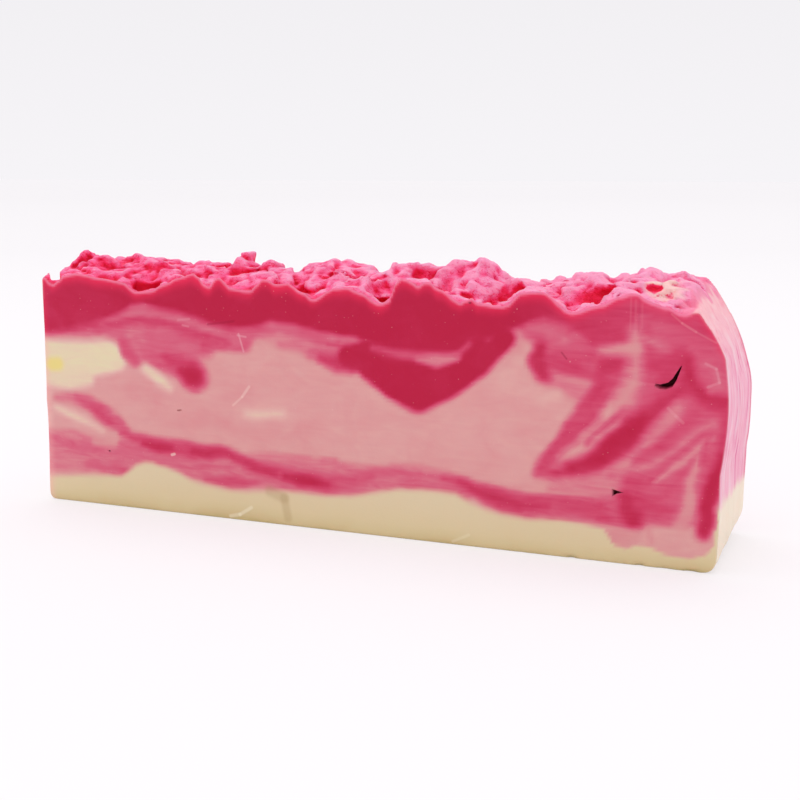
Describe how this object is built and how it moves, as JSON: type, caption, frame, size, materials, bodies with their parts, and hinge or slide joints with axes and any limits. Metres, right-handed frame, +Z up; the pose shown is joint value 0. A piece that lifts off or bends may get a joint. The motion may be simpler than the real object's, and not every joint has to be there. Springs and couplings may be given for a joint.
{
  "type": "bar of soap",
  "caption": "Uncut loaf-size bar of swirled pink and cream soap with flat cut faces and a torn, crumbled top.",
  "frame": {"origin": "middle of the bottom face, on the surface that the bar stands on", "axes": "+Z up, +X along the bar towards its stepped end, -Y out of the front cut face"},
  "size_m": [0.268, 0.055, 0.101],
  "materials": {
    "soap": "waxy satin, crimson, pink and cream pours swirled together"
  },
  "bodies": {
    "root": {"soap_bar": "soap"}
  },
  "joints": []
}
